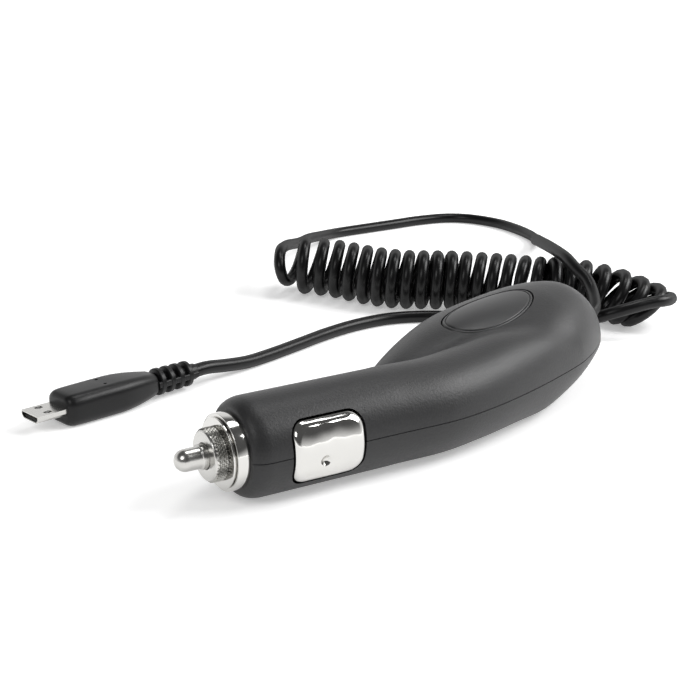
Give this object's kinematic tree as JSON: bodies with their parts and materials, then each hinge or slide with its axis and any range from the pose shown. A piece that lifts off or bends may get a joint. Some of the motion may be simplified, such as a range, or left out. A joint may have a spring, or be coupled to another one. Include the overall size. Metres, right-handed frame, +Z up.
{
  "type": "car usb charger plug",
  "caption": "Car charger plug with a lighter-socket barrel, side contacts, a sprung tip and fuse, a comma-shaped head, and a coiled cord to a small data plug.",
  "frame": {"origin": "middle of the charger's footprint without its cord, on the surface it lies on", "axes": "+X runs from the nose along the barrel to the head's rear, +Y to the side on which the head bulges, +Z up through the head's crest"},
  "size_m": [0.2098, 0.1864, 0.0243],
  "materials": {
    "housing": "fine satin texture",
    "inlay": "fine satin texture",
    "plated_steel": "bright nickel plate",
    "fuse_glass": "clear",
    "nickel": "bright",
    "guide_plastic": "satin",
    "spring_steel": "drawn",
    "brass": "satin",
    "board": "solder mask",
    "capacitor_can": "printed sleeve without print",
    "ferrite": "matt",
    "copper": "enamelled",
    "chip_resin": "matt",
    "resistor_body": "lacquer",
    "red_insulation": "smooth",
    "black_insulation": "smooth",
    "screw_steel": "zinc plate",
    "relief_rubber": "satin",
    "cord_rubber": "semi-gloss",
    "plug_rubber": "semi-gloss",
    "gold_plate": "bright"
  },
  "bodies": {
    "charger": {"upper_shell": "housing", "lower_shell": "housing", "oval_inlay": "inlay", "end_ring": "plated_steel", "fuse_tube": "guide_plastic", "tip_spring": "spring_steel", "spring_cup": "brass", "contact_spring": "spring_steel", "circuit_board": "board", "input_capacitor": "capacitor_can", "output_capacitor": "capacitor_can", "choke_drum": "ferrite", "choke_winding": "copper", "regulator_chip": "chip_resin", "diode": "chip_resin", "resistors": "resistor_body", "positive_lead": "red_insulation", "ground_lead": "black_insulation", "cord_cores": "black_insulation", "shell_screws": "screw_steel", "cord_relief": "relief_rubber", "cord_lead": "cord_rubber", "cord_coil": "cord_rubber", "cord_tail": "cord_rubber", "plug_grip": "plug_rubber", "plug_shell": "nickel", "plug_tongue": "chip_resin", "plug_contacts": "gold_plate", "plug_latches": "nickel"},
    "cap": {"screw_cap": "plated_steel"},
    "tip": {"centre_tip": "plated_steel", "fuse_glass": "fuse_glass", "fuse_caps": "nickel", "fuse_wire": "nickel"},
    "near_side_contact": {"near_contact": "plated_steel"},
    "far_side_contact": {"far_contact": "plated_steel"}
  },
  "joints": [
    {"name": "cap_off", "type": "slide", "parent": "charger", "child": "cap", "axis": [-1, 0, 0], "range_m": [0, 0.024]},
    {"name": "tip_press", "type": "slide", "parent": "cap", "child": "tip", "axis": [1, 0, 0], "range_m": [0, 0.0025], "stiffness_N_per_m": 350, "springref_m": -0.002, "deforming": ["tip_spring"]},
    {"name": "near_contact_press", "type": "slide", "parent": "charger", "child": "near_side_contact", "axis": [0, 1, 0], "range_m": [0, 0.001], "stiffness_N_per_m": 200, "springref_m": -0.002, "deforming": ["contact_spring"]},
    {"name": "far_contact_press", "type": "slide", "parent": "charger", "child": "far_side_contact", "axis": [0, -1, 0], "range_m": [0, 0.001], "stiffness_N_per_m": 200, "springref_m": -0.002, "deforming": ["contact_spring"]}
  ]
}
